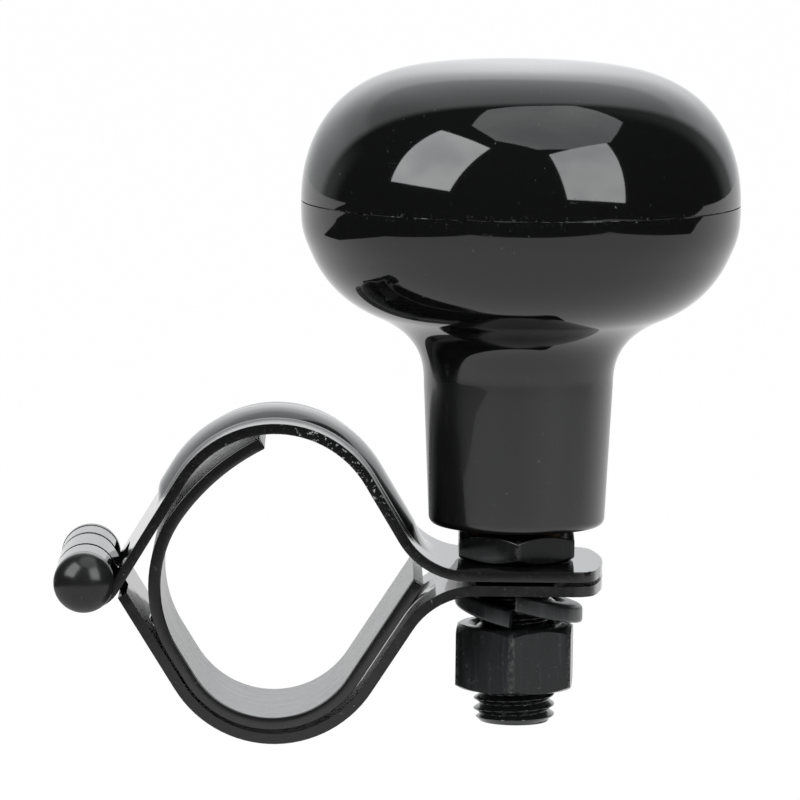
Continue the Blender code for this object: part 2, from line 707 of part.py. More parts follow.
def build_top_fastening():
    """The washer and lock nut that hold the inner races down on the spindle's shoulder."""
    spindle_bore = SPINDLE_R + NUT_FIT
    top = TOP_WASHER_Z + TOP_WASHER_T
    ring("top_washer", TOP_WASHER_R, spindle_bore, TOP_WASHER_Z, top, SPINDLE_FACETS, STEEL, KNOB_AXIS)
    shares = (HEX_FACE_SHARE, HEX_FACE_SHARE)
    nut = hexagon("lock_nut", LOCK_NUT_AF, LOCK_NUT_H, LOCK_NUT_Z, 0, STEEL, KNOB_AXIS, shares)
    boolean(nut, nut_bore("lock_nut_bore", spindle_bore, LOCK_NUT_H, LOCK_NUT_Z, KNOB_AXIS))


def nut_bore(name, radius, height, base_z, parent):
    """The cutter of a nut's bore, countersunk at both ends."""
    flare = NUT_COUNTERSINK
    half = height / 2
    top = [(0, half + flare), (radius + 2 * flare, half + flare), (radius, half - flare)]
    profile = top + [(r, -z) for r, z in reversed(top)]
    cutter = turned(name, profile, SPINDLE_FACETS, STEEL, parent, base_z + half, CUTTERS, closed=False)
    return as_cutter(cutter)


def build_bearing_spacer():
    """A tube between the inner races."""
    low = LOWER_BEARING_Z + BEARING_W / 2 + SEAT_GAP
    high = UPPER_BEARING_Z - BEARING_W / 2 - SEAT_GAP
    ring("bearing_spacer", SPACER_R, BEARING_BORE_R, low, high, BEARING_FACETS, STEEL, KNOB_AXIS)


def build_spring_washer():
    """A split ring wound one turn, tilted as it hangs between the tab and the nut."""
    mesh = bpy.data.meshes.new("spring_washer")
    coil = bmesh.new()
    edge = WASHER_EDGE
    half = WASHER_T / 2
    quarter = [(WASHER_R, half - edge), (WASHER_R - edge, half)]
    inside = [(WASHER_BORE_R + edge, half), (WASHER_BORE_R, half - edge)]
    upper = quarter + inside
    section = upper + [(r, -z) for r, z in reversed(upper)]
    ends = WASHER_SPLIT_TURN + WASHER_SPLIT / 2
    start = Matrix.Rotation(ends, 4, "Z")
    face = coil.faces.new([coil.verts.new(start @ Vector((r, 0, z))) for r, z in section])
    bmesh.ops.spin(
        coil,
        geom=[face, *face.edges, *face.verts],
        cent=(0, 0, 0),
        axis=(0, 0, 1),
        dvec=(0, 0, -WASHER_RISE / WASHER_FACETS),
        angle=2 * pi - WASHER_SPLIT,
        steps=WASHER_FACETS,
        use_duplicate=False,
    )
    lean = Matrix.Shear("XY", 4, (0, 0))
    lean[2][0] = -tan(WASHER_TILT)
    bmesh.ops.transform(coil, matrix=lean, verts=coil.verts)
    bmesh.ops.recalc_face_normals(coil, faces=coil.faces)
    coil.to_mesh(mesh)
    coil.free()
    place("spring_washer", mesh, STEEL, WASHER_AXIS, (WASHER_SHIFT, 0, WASHER_TOP_Z - WASHER_T / 2))


def build_clamp_nut():
    base = CLAMP_NUT_TOP_Z - CLAMP_NUT_H
    shares = (HEX_FACE_SHARE, CLAMP_NUT_FOOT_SHARE)
    nut = hexagon("clamp_nut", HEX_AF, CLAMP_NUT_H, base, CLAMP_NUT_TURN, STEEL, NUT_AXIS, shares)
    boolean(nut, nut_bore("clamp_nut_bore", SHANK_R + NUT_FIT, CLAMP_NUT_H, base, NUT_AXIS))


for old in list(bpy.data.objects):
    bpy.data.objects.remove(old, do_unlink=True)

PARTS = collection("steering_wheel_spinner_knob")
CUTTERS = collection("cutters")
GLOSS_BLACK = material("gloss_black_plastic", (0.012, 0.012, 0.013), 0.12)
BLACK_PLATE = material("black_plated_steel", (0.03, 0.03, 0.032), 0.14, 0.9)
STEEL = material("black_oxide_steel", (0.05, 0.052, 0.056), 0.38, 0.85)
SOFT_BLACK = material("soft_black_liner", (0.02, 0.02, 0.021), 0.62)
BRASS = material("cage_brass", (0.55, 0.42, 0.2), 0.4, 0.9)
CLAMP = empty("clamp_frame", (0, 0, 0))
JAW = empty("jaw_hinge", (HINGE_X, 0, HINGE_Z))
KNOB_AXIS = empty("knob_axis", (KNOB_X, 0, 0))
LOWER_CAGE = empty("lower_cage_axis", (KNOB_X, 0, LOWER_BEARING_Z))
UPPER_CAGE = empty("upper_cage_axis", (KNOB_X, 0, UPPER_BEARING_Z))
WASHER_AXIS = empty("washer_axis", (KNOB_X, 0, 0))
NUT_AXIS = empty("nut_axis", (KNOB_X, 0, 0))

build_upper_strap()
build_lower_strap()
build_hinge_pin()
build_rim_liner()
build_spindle_bolt()
build_bearing("lower_bearing", LOWER_BEARING_Z, LOWER_CAGE)
build_bearing_spacer()
build_bearing("upper_bearing", UPPER_BEARING_Z, UPPER_CAGE)
build_top_fastening()
build_knob_body()
build_knob_cap()
build_spring_washer()
build_clamp_nut()
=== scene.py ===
from math import acos, atan2, cos, hypot, pi, radians, sin, sqrt, tan

import bmesh
import bpy
from mathutils import Matrix, Vector


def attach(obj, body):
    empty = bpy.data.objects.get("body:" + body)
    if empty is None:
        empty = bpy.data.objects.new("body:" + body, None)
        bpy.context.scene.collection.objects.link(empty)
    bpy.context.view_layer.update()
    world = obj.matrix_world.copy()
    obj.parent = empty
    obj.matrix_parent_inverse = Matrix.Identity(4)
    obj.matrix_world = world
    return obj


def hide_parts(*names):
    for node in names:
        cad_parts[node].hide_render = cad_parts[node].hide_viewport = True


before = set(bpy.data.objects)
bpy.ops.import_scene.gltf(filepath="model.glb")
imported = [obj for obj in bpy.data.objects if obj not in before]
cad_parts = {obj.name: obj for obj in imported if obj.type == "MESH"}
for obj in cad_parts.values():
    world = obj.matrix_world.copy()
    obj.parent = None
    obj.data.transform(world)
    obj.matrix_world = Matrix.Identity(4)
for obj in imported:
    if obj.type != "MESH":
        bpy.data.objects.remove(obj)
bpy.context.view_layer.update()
MM = 0.001

# Camera
# A long lens a little higher than the knob, looking slightly down on the clamp.
# The picture leans by less than a degree, as a hand-levelled studio shot does.

CAMERA_AT = Vector((7.758, -823.276, 120.631)) * MM
CAMERA_DOWN = radians(6.91)
CAMERA_TURN = radians(0.5)
CAMERA_ROLL = radians(0.7)
CAMERA_LENS = 306.9
SENSOR_W = 36

ahead = cos(CAMERA_DOWN)
forward = Vector((sin(CAMERA_TURN) * ahead, cos(CAMERA_TURN) * ahead, -sin(CAMERA_DOWN)))
level = Vector((cos(CAMERA_TURN), -sin(CAMERA_TURN), 0))
upright = level.cross(forward)
camera_right = level * cos(CAMERA_ROLL) + upright * sin(CAMERA_ROLL)
camera_up = upright * cos(CAMERA_ROLL) - level * sin(CAMERA_ROLL)
camera = bpy.data.objects.new("camera", bpy.data.cameras.new("camera"))
bpy.context.scene.collection.objects.link(camera)
camera_axes = Matrix((camera_right, camera_up, -forward)).transposed().to_4x4()
camera.matrix_world = Matrix.Translation(CAMERA_AT) @ camera_axes
camera.data.sensor_fit = "HORIZONTAL"
camera.data.sensor_width = SENSOR_W
camera.data.lens = CAMERA_LENS
camera.data.clip_start = 0.05
bpy.context.scene.camera = camera

# Upper strap
# A strip of 1.25 mm steel bent to an arch, with a rib pressed along its middle, a tab for the bolt and
# two rolled knuckles. It is blanked, pressed and rolled, then dipped in a gloss black finish.

STRAP_T = 1.25 * MM
STRAP_W = 22.3 * MM
SPLIT_GAP = 0.5 * MM
RIB_H = 1 * MM
RIB_POWER = 2.2
TAB_REACH = 10.55 * MM
TAB_END_R = 36 * MM
TAB_CORNER_R = 2 * MM
HINGE = (-22.8995 * MM, -0.15 * MM)
KNUCKLE_R = 2.98 * MM
KNUCKLE_TURN = radians(300)
KNUCKLE_MIDDLE_W = 8.5 * MM
KNUCKLE_GAP = 1 * MM
KNOB_X = 29.3006 * MM
ARCH = (0, 5.3 * MM)
ARCH_R = 13.225 * MM
ARCH_LEAN = radians(90 - 58.9)
ARCH_FOOT_R = 9.075 * MM
ROLL_ENTRY = radians(60)
NOTCH_REACH = 4.8 * MM
UPPER_LEG_STEPS = (1 * MM, 2 * MM)
UPPER_RIB_REACH = 2.6 * MM
UPPER_HOLE_R = 5.23 * MM
RIB_FADE = 2.4 * MM
RIB_FADE_STEPS = 4
TAB_END_ROWS = 3
PUNCH_L = 6 * MM
STRAP_EDGE = 0.14 * MM


def arc(centre, radius, start, end, step=radians(4)):
    """Points of an arc in the X-Z plane, both ends included."""
    count = max(2, round(abs(end - start) / step))
    turns = [start + (end - start) * i / count for i in range(count + 1)]
    return [(centre[0] + radius * cos(t), centre[1] + radius * sin(t)) for t in turns]


def beyond(point, direction, length):
    return (point[0] + direction[0] * length, point[1] + direction[1] * length)


def between(start, end, count):
    """Points inside a straight run, without its ends."""
    return [tuple(a + (b - a) * i / count for a, b in zip(start, end)) for i in range(1, count)]


def smooth(t):
    """From 0 to 1 with soft ends."""
    t = min(max(t, 0), 1)
    return t * t * (3 - 2 * t)


def solid(name, mesh):
    made = bpy.data.objects.new(name, mesh)
    bpy.context.scene.collection.objects.link(made)
    return made


def apply_modifiers(made, sharp=None):
    """The evaluated shape as a plain mesh. With no sharp angle, flat faces stay flat up to their bevels."""
    made.data.shade_smooth()
    if sharp is None:
        made.modifiers.new("Flat faces", "WEIGHTED_NORMAL")
    graph = bpy.context.evaluated_depsgraph_get()
    graph.update()
    mesh = bpy.data.meshes.new_from_object(made.evaluated_get(graph))
    made.modifiers.clear()
    made.data = mesh
    if sharp:
        mesh.shade_smooth()
        mesh.set_sharp_from_angle(angle=radians(sharp))
    return made


def bevel(made, width, segments=2, angle=40):
    edge = made.modifiers.new("Edge", "BEVEL")
    edge.width = width
    edge.segments = segments
    edge.limit_method = "ANGLE"
    edge.angle_limit = radians(angle)
    edge.use_clamp_overlap = True
    edge.harden_normals = False


def strap_widths(knuckle_w):
    """(y, share of the rib) over the width. The rib is a broad hump between the knuckle's edges."""
    half, foot = STRAP_W / 2, knuckle_w / 2
    right = [(half - inset * MM, 0) for inset in (0, 0.2, 0.5, 0.9, 1.4, 2)]
    right += [((half + foot) / 2, 0), (foot + 0.8 * MM, 0)]
    right += [(foot * t, 1 - t**RIB_POWER) for t in (1, 0.94, 0.86, 0.76, 0.64, 0.5, 0.34, 0.17)]
    return [(-y, rib) for y, rib in right] + [(0, 1)] + [(y, rib) for y, rib in reversed(right)]


def bend_strap(name, path, side, widths, in_knuckle, hole_r):
    """A sheet bent along path = [(x, z, rib, is_roll)], with its hole, gauge and broken edges."""
    mesh = bpy.data.meshes.new(name)
    sheet = bmesh.new()
    rows = []
    for i, (x, z, rib, rolled) in enumerate(path):
        before, after = path[max(i - 1, 0)], path[min(i + 1, len(path) - 1)]
        dx, dz = after[0] - before[0], after[1] - before[1]
        run = hypot(dx, dz)
        normal = (side * dz / run, -side * dx / run)
        row = []
        for y, on_rib in widths:
            lift = rib * RIB_H * on_rib
            reach = x
            if i < TAB_END_ROWS:
                end = KNOB_X + TAB_REACH - (TAB_END_R - sqrt(TAB_END_R**2 - y * y))
                inset = max(0, abs(y) - (STRAP_W / 2 - TAB_CORNER_R))
                end -= TAB_CORNER_R - sqrt(max(TAB_CORNER_R**2 - inset**2, 0))
                reach = min(x, end) if i else end
            row.append(sheet.verts.new((reach + lift * normal[0], y, z + lift * normal[1])))
        rows.append(row)
    for i in range(len(rows) - 1):
        for strip in range(len(widths) - 1):
            middle_y = (widths[strip][0] + widths[strip + 1][0]) / 2
            if not path[i + 1][3] or in_knuckle(middle_y):
                a, b = rows[i], rows[i + 1]
                sheet.faces.new((a[strip], a[strip + 1], b[strip + 1], b[strip]))
    bmesh.ops.delete(sheet, geom=[v for v in sheet.verts if not v.link_faces], context="VERTS")
    bmesh.ops.remove_doubles(sheet, verts=sheet.verts, dist=0.00001)
    bmesh.ops.recalc_face_normals(sheet, faces=sheet.faces)
    sheet.to_mesh(mesh)
    sheet.free()
    made = solid(name, mesh)
    gauge = made.modifiers.new("Gauge", "SOLIDIFY")
    gauge.thickness = STRAP_T
    gauge.offset = 0
    gauge.use_even_offset = True
    punch = bpy.data.meshes.new("punch")
    tool = bmesh.new()
    bmesh.ops.create_cone(tool, cap_ends=True, segments=64, radius1=hole_r, radius2=hole_r, depth=PUNCH_L)
    bmesh.ops.translate(tool, verts=tool.verts, vec=(KNOB_X, 0, path[0][1]))
    tool.to_mesh(punch)
    tool.free()
    punch.shade_smooth()
    cutter = solid("punch", punch)
    hole = made.modifiers.new("Hole", "BOOLEAN")
    hole.object = cutter
    bevel(made, STRAP_EDGE)
    apply_modifiers(made)
    bpy.data.objects.remove(cutter)
    return made


def knuckle_roll(inward, sense, offset):
    """A knuckle's roll, with an entry bend where the leg lies further out than the roll."""
    start = atan2(inward[1], inward[0])
    points, rest = [], KNUCKLE_TURN
    if offset > KNUCKLE_R * 1.001:
        entry_r = KNUCKLE_R + (offset - KNUCKLE_R) / (1 - cos(ROLL_ENTRY))
        meet = start + sense * ROLL_ENTRY
        centre = beyond(HINGE, (cos(meet), sin(meet)), KNUCKLE_R - entry_r)
        points += arc(centre, entry_r, start, meet, radians(6))[:-1]
        start, rest = meet, KNUCKLE_TURN - ROLL_ENTRY
    return points + arc(HINGE, KNUCKLE_R, start, start + sense * rest, radians(8))


def tab_run(z, foot_start):
    """The flat tab, from its end to the foot bend."""
    end = (KNOB_X + TAB_REACH, z)
    corner = (end[0] - TAB_CORNER_R * 0.35, z)
    body = (end[0] - TAB_CORNER_R * 1.1, z)
    return [end, corner, body] + between(body, foot_start, 8)


def foot_rows(bend):
    """The foot bend as rows of a path, with the rib rising over its upper half."""
    return [(x, z, smooth(i / len(bend) * 1.9 - 0.85), False) for i, (x, z) in enumerate(bend)]


def leg_rows(start, direction, steps, reach):
    """A leg as rows of a path, with the rib whole as far as reach and then fading out."""
    rows = [(*beyond(start, direction, step), 1, False) for step in steps]
    for i in range(RIB_FADE_STEPS + 1):
        share = i / RIB_FADE_STEPS
        rows.append((*beyond(start, direction, reach + RIB_FADE * share), 1 - smooth(share), False))
    return rows


tab_z = SPLIT_GAP / 2 + STRAP_T / 2
out = (cos(ARCH_LEAN), sin(ARCH_LEAN))
foot_z = tab_z + ARCH_FOOT_R
foot = ((ARCH_R + ARCH_FOOT_R - out[1] * (foot_z - ARCH[1])) / out[0], foot_z)
foot_arc = arc(foot, ARCH_FOOT_R, -pi / 2, ARCH_LEAN - pi)
arch_arc = arc(ARCH, ARCH_R, ARCH_LEAN, pi - ARCH_LEAN)
down, left = (-sin(ARCH_LEAN), -cos(ARCH_LEAN)), (-out[0], out[1])
offset = left[0] * (HINGE[0] - ARCH[0]) + left[1] * (HINGE[1] - ARCH[1]) - ARCH_R
leg_end = beyond(HINGE, left, -offset)
notch = beyond(leg_end, down, -NOTCH_REACH)
upper = [(x, z, 0, False) for x, z in tab_run(tab_z, foot_arc[0])]
upper += foot_rows(foot_arc)
upper += [(x, z, 1, False) for x, z in between(foot_arc[-1], arch_arc[0], 4)]
upper += [(x, z, 1, False) for x, z in arch_arc]
upper += leg_rows(arch_arc[-1], down, UPPER_LEG_STEPS, UPPER_RIB_REACH)
upper += [(x, z, 0, False) for x, z in between(upper[-1][:2], notch, 3)] + [(*notch, 0, False)]
roll = knuckle_roll((-left[0], -left[1]), -1, offset)
upper += [(x, z, 0, True) for x, z in between(notch, roll[0], 5) + roll]
knuckle_foot = KNUCKLE_MIDDLE_W / 2 + KNUCKLE_GAP
upper_strap = bend_strap(
    "upper_strap_pressed",
    upper,
    1,
    strap_widths(2 * knuckle_foot),
    lambda y: abs(y) > knuckle_foot,
    UPPER_HOLE_R,
)


class Wire:
    """A node socket that can be worked with as a number."""

    def __init__(self, bench, socket):
        self.bench = bench
        self.socket = socket

    def maths(self, operation, other=0.0, swapped=False):
        pair = (other, self) if swapped else (self, other)
        return self.bench.node("ShaderNodeMath", {"operation": operation}, {0: pair[0], 1: pair[1]})

    def __add__(self, other):
        return self.maths("ADD", other)

    __radd__ = __add__

    def __sub__(self, other):
        return self.maths("SUBTRACT", other)

    def __rsub__(self, other):
        return self.maths("SUBTRACT", other, True)

    def __mul__(self, other):
        return self.maths("MULTIPLY", other)

    __rmul__ = __mul__

    def __truediv__(self, other):
        return self.maths("DIVIDE", other)

    def __abs__(self):
        return self.maths("ABSOLUTE")

    def least(self, other):
        return self.maths("MINIMUM", other)

    def most(self, other):
        return self.maths("MAXIMUM", other)


class Bench:
    """A node tree under construction."""

    def __init__(self, tree):
        self.tree = tree

    def node(self, kind, settings=None, sockets=None, take=0):
        made = self.tree.nodes.new(kind)
        for key, value in (settings or {}).items():
            setattr(made, key, value)
        for key, value in (sockets or {}).items():
            if isinstance(value, Wire):
                self.tree.links.new(value.socket, made.inputs[key])
            else:
                made.inputs[key].default_value = value
        return Wire(self, made.outputs[take])

    def part(self, vector, axis):
        """One coordinate of a vector."""
        return self.node("ShaderNodeSeparateXYZ", None, {0: vector}, take="XYZ".index(axis))

    def noise(self, place, scale, detail=3, rough=0.55, stretch=(1, 1, 1)):
        sockets = {"Vector": place, "Scale": scale, "Detail": detail, "Roughness": rough}
        if stretch != (1, 1, 1):
            spread = {"operation": "MULTIPLY"}
            sockets["Vector"] = self.node("ShaderNodeVectorMath", spread, {0: place, 1: stretch})
        return self.node("ShaderNodeTexNoise", None, sockets)

    def band(self, value, low, high, to_low=0.0, to_high=1.0):
        """value turned from low..high to to_low..to_high, with soft ends."""
        sockets = {"Value": value, "From Min": low, "From Max": high, "To Min": to_low, "To Max": to_high}
        return self.node("ShaderNodeMapRange", {"interpolation_type": "SMOOTHSTEP"}, sockets)


class Finish(Bench):
    """A material under construction."""

    def __init__(self, name):
        self.material = bpy.data.materials.new(name)
        self.material.use_nodes = True
        super().__init__(self.material.node_tree)
        self.shader = self.tree.nodes["Principled BSDF"]

    def where(self):
        return self.node("ShaderNodeTexCoord", take="Object")

    def tint(self, factor, first, second):
        """One colour turning to another."""
        return self.node("ShaderNodeMix", {"data_type": "RGBA"}, {0: factor, 6: first, 7: second}, take=2)

    def bump(self, height, strength, distance, under=None):
        sockets = {"Height": height, "Strength": strength, "Distance": distance}
        if under:
            sockets["Normal"] = under
        return self.node("ShaderNodeBump", None, sockets)

    def set(self, **sockets):
        for key, value in sockets.items():
            socket = self.shader.inputs[key.replace("_", " ")]
            if isinstance(value, Wire):
                self.tree.links.new(value.socket, socket)
            else:
                socket.default_value = value
        return self.material


def grey(level, warm=0.0):
    return (level * (1 + warm), level, level * (1 - warm), 1)


def dipped_black():
    """Gloss black dip over pressed steel, with orange peel, dust and bare specks on its cut edges."""
    finish = Finish("dipped_black")
    place = finish.where()
    wave = finish.noise(place, 260, 2, 0.4)
    grain = finish.noise(place, 1900, 4, 0.6)
    dust = finish.band(finish.noise(place, 1300, 2, 0.5), 0.7, 0.78)
    wear = finish.band(finish.noise(place, 420, 5, 0.65), 0.6, 0.72)
    outside = abs(finish.part(place, "Y"))
    rim = finish.band(outside, STRAP_W / 2 - 0.45 * MM, STRAP_W / 2 - 0.12 * MM)
    knob_side = finish.band(finish.part(place, "X"), -1 * MM, 3 * MM)
    on_arch = finish.band(finish.part(place, "Z"), 7 * MM, 11 * MM)
    paler_area = knob_side * on_arch
    chips = finish.band(finish.noise(place, 1900, 3, 0.7), 0.59, 0.64) * rim * (paler_area * 0.8 + 0.03)
    base = finish.tint(wear * 0.6, grey(0.005), grey(0.011, 0.14))
    color = finish.tint(dust * 0.3 + chips * 0.8, base, grey(0.3))
    rough = 0.055 + wear * 0.08 + dust * 0.2 + grain * 0.03 + rim * 0.04 + chips * 0.3
    peel = finish.bump(wave, 0.12, 0.00012)
    worked = finish.bump(grain, 0.05, 0.00002, finish.bump(chips, 0.4, 0.00004, peel))
    return finish.set(Base_Color=color, Roughness=rough, IOR=1.5, Normal=worked)


def wear_finish(made, material, slot, body, *nodes):
    """Gives a piece its material and says which body and CAD nodes it goes with."""
    made.data.materials.clear()
    made.data.materials.append(material)
    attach(made, body)
    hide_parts(*nodes)


strap_black = dipped_black()
wear_finish(upper_strap, strap_black, "black_plate", "clamp", "upper_strap")

# Lower strap
# The other half of the clamp, from the same strip, bent to a bowl with one middle knuckle between the
# upper strap's two. Its tab lies under the upper one, with the spring washer and the nut below it.

BOWL = (0, -5.75 * MM)
BOWL_R = 13.425 * MM
BOWL_LEAN = radians(90 - 57.2)
BOWL_FOOT_R = 9.775 * MM
SHOULDER_REACH = 3.9 * MM
LOWER_LEG_STEPS = (1.5 * MM, 3 * MM, 4.5 * MM)
LOWER_RIB_REACH = 6 * MM
LOWER_HOLE_R = 5.58 * MM

tab_z = -SPLIT_GAP / 2 - STRAP_T / 2
out = (cos(BOWL_LEAN), -sin(BOWL_LEAN))
foot_z = tab_z - BOWL_FOOT_R
foot = ((BOWL_R + BOWL_FOOT_R - out[1] * (foot_z - BOWL[1])) / out[0], foot_z)
to_hinge = (HINGE[0] - BOWL[0], HINGE[1] - BOWL[1])
leg_turn = atan2(to_hinge[1], to_hinge[0]) + acos((BOWL_R + KNUCKLE_R) / hypot(*to_hinge))
left = (cos(leg_turn), sin(leg_turn))
up = (left[1], -left[0])
foot_arc = arc(foot, BOWL_FOOT_R, pi / 2, pi - BOWL_LEAN)
bowl_arc = arc(BOWL, BOWL_R, -BOWL_LEAN, leg_turn - 2 * pi)
leg_end = beyond(HINGE, left, -KNUCKLE_R)
shoulder = beyond(leg_end, up, -SHOULDER_REACH)
lower = [(x, z, 0, False) for x, z in tab_run(tab_z, foot_arc[0])]
lower += foot_rows(foot_arc)
lower += [(x, z, 1, False) for x, z in between(foot_arc[-1], bowl_arc[0], 4)]
lower += [(x, z, 1, False) for x, z in bowl_arc]
lower += leg_rows(bowl_arc[-1], up, LOWER_LEG_STEPS, LOWER_RIB_REACH)
lower += [(x, z, 0, False) for x, z in between(lower[-1][:2], shoulder, 3)] + [(*shoulder, 0, False)]
roll = knuckle_roll((-left[0], -left[1]), 1, KNUCKLE_R)
lower += [(x, z, 0, True) for x, z in between(shoulder, roll[0], 4) + roll]
lower_strap = bend_strap(
    "lower_strap_pressed",
    lower,
    -1,
    strap_widths(KNUCKLE_MIDDLE_W),
    lambda y: abs(y) < KNUCKLE_MIDDLE_W / 2,
    LOWER_HOLE_R,
)
wear_finish(lower_strap, strap_black, "black_plate", "lower_jaw", "lower_strap")

# Hinge pin
# A steel pin through the knuckles with a domed head riveted on each end, black like the straps.
# Its heads are rubbed satin, so they show the studio's windows as soft spots.

PIN_R = 2.2 * MM
PIN_HEAD_R = 3.65 * MM
PIN_HEAD_RIM = 1.7 * MM
PIN_HEAD_DOME = 2.2 * MM
PIN_HEAD_GAP = 0.15 * MM
PIN_BLEND_R = 0.3 * MM


def turn_piece(name, profile, centre, facets=96, along="Z"):
    """A turned piece from (radius, height) points, closed to a ring if it starts off the axis."""
    mesh = bpy.data.meshes.new(name)
    shape = bmesh.new()
    chain = [shape.verts.new((radius, 0, height)) for radius, height in profile]
    edges = [shape.edges.new(pair) for pair in zip(chain, chain[1:])]
    if profile[0][0] > 0:
        edges.append(shape.edges.new((chain[-1], chain[0])))
    geom = chain + edges
    bmesh.ops.spin(shape, geom=geom, cent=(0, 0, 0), axis=(0, 0, 1), angle=2 * pi, steps=facets)
    bmesh.ops.remove_doubles(shape, verts=shape.verts, dist=0.000002)
    if along == "Y":
        bmesh.ops.rotate(shape, verts=shape.verts, matrix=Matrix.Rotation(pi / 2, 3, "X"))
    bmesh.ops.translate(shape, verts=shape.verts, vec=centre)
    bmesh.ops.recalc_face_normals(shape, faces=shape.faces)
    shape.to_mesh(mesh)
    shape.free()
    made = solid(name, mesh)
    mesh.shade_smooth()
    mesh.set_sharp_from_angle(angle=radians(32))
    return made


dome_r = (PIN_HEAD_R**2 + PIN_HEAD_DOME**2) / (2 * PIN_HEAD_DOME)
pin_half = STRAP_W / 2 + PIN_HEAD_GAP
pin_rim = pin_half + PIN_HEAD_RIM
edge_turn = atan2(dome_r - PIN_HEAD_DOME, PIN_HEAD_R)
dome = arc((0, pin_rim + PIN_HEAD_DOME - dome_r), dome_r, pi / 2, edge_turn, radians(3))
dome[0] = (0, dome[0][1])
head = dome[:-1] + [(PIN_HEAD_R - 0.06 * MM, pin_rim + 0.08 * MM), (PIN_HEAD_R, pin_rim - 0.25 * MM)]
head += [(PIN_HEAD_R, pin_half + PIN_BLEND_R), (PIN_HEAD_R - PIN_BLEND_R, pin_half), (PIN_R, pin_half)]
both_heads = head + [(radius, -height) for radius, height in reversed(head)]
pin = turn_piece("hinge_pin_riveted", both_heads, (HINGE[0], 0, HINGE[1]), 72, "Y")


def rolled_black():
    """Black finish rubbed satin where the heads were riveted, with clouds and specks."""
    finish = Finish("rolled_black")
    place = finish.where()
    cloud = finish.noise(place, 380, 4, 0.6)
    specks = finish.band(finish.noise(place, 1400, 3, 0.6), 0.66, 0.74)
    color = finish.tint(specks * 0.3 + cloud * 0.15, grey(0.006), grey(0.06))
    rough = 0.16 + cloud * 0.1 + specks * 0.15
    return finish.set(Base_Color=color, Roughness=rough, IOR=1.38, Normal=finish.bump(cloud, 0.08, 0.00006))


wear_finish(pin, rolled_black(), "black_plate", "clamp", "hinge_pin")

# Rim liner
# A strip of firm black plastic bent to a C and bonded to the lower strap. It grips the wheel's rim.
# Its inner face is satin and shows fine streaks along the bend, and its cut edges are smooth.

LINER_T = 1.5 * MM
LINER_W = 21.8 * MM
LINER_GAP = 0.4 * MM
LINER_BOWL = (-0.25 * MM, BOWL[1])
LINER_BOWL_R = BOWL_R - STRAP_T / 2 - LINER_GAP - LINER_T / 2
LINER_RISE = 3.8 * MM
LINER_SIDE_R = 15.13 * MM
LINER_TIP_R = 27.5 * MM
LINER_SIDE_TURN = radians(145)
LINER_TIP_TURN = radians(116.9)
LINER_END_GAP = 0.4 * MM
LINER_EDGE = 0.16 * MM

side = beyond(beyond(LINER_BOWL, up, LINER_RISE), left, LINER_BOWL_R - LINER_SIDE_R)
tip = beyond(side, (cos(LINER_SIDE_TURN), sin(LINER_SIDE_TURN)), LINER_SIDE_R - LINER_TIP_R)
route = arc(tip, LINER_TIP_R, LINER_TIP_TURN, LINER_SIDE_TURN, radians(2.5))
route += arc(side, LINER_SIDE_R, LINER_SIDE_TURN, leg_turn)[1:]
route += between(route[-1], beyond(LINER_BOWL, left, LINER_BOWL_R), 4)
route += arc(LINER_BOWL, LINER_BOWL_R, leg_turn, 2 * pi - BOWL_LEAN)
rise = (sin(BOWL_LEAN), cos(BOWL_LEAN))
knob_leg = (cos(ARCH_LEAN), sin(ARCH_LEAN))
reached = knob_leg[0] * route[-1][0] + knob_leg[1] * (route[-1][1] - ARCH[1])
room = ARCH_R - STRAP_T / 2 - LINER_END_GAP - reached
liner_end = beyond(route[-1], rise, room / (knob_leg[0] * rise[0] + knob_leg[1] * rise[1]))
route += between(route[-1], liner_end, 8) + [liner_end]
mesh = bpy.data.meshes.new("rim_liner_bent")
strip = bmesh.new()
across = [-0.5, -0.3, -0.1, 0.1, 0.3, 0.5]
rows = [[strip.verts.new((x, LINER_W * y, z)) for y in across] for x, z in route]
for a, b in zip(rows, rows[1:]):
    for i in range(len(across) - 1):
        strip.faces.new((a[i], a[i + 1], b[i + 1], b[i]))
bmesh.ops.recalc_face_normals(strip, faces=strip.faces)
strip.to_mesh(mesh)
strip.free()
liner = solid("rim_liner_bent", mesh)
wall = liner.modifiers.new("Wall", "SOLIDIFY")
wall.thickness = LINER_T
wall.offset = 0
wall.use_even_offset = True
bevel(liner, LINER_EDGE)
apply_modifiers(liner)


def liner_plastic():
    """Firm black plastic, satin inside with streaks along the bend, smooth on its cut edges."""
    finish = Finish("liner_plastic")
    place = finish.where()
    cut_edge = finish.band(abs(finish.part(place, "Y")), LINER_W / 2 - 0.3 * MM, LINER_W / 2 - 0.1 * MM)
    streaks = finish.noise(place, 420, 5, 0.7, (0.3, 3.0, 0.3))
    specks = finish.band(finish.noise(place, 1500, 3, 0.6), 0.64, 0.74)
    color = finish.tint(specks * 0.4, grey(0.007), grey(0.05))
    rough = 0.12 + streaks * 0.2 + specks * 0.15 - cut_edge * 0.1
    worked = finish.bump(streaks * (1 - cut_edge), 0.6, 0.00012)
    return finish.set(Base_Color=color, Roughness=rough, IOR=1.55, Normal=worked)


wear_finish(liner, liner_plastic(), "soft_liner", "lower_jaw", "rim_liner")

# Spindle bolt
# One turned and threaded steel bolt. Its hexagon collar sits on the tabs, its M10 thread goes down
# through them, and its plain spindle carries the knob's two bearings inside the stem.

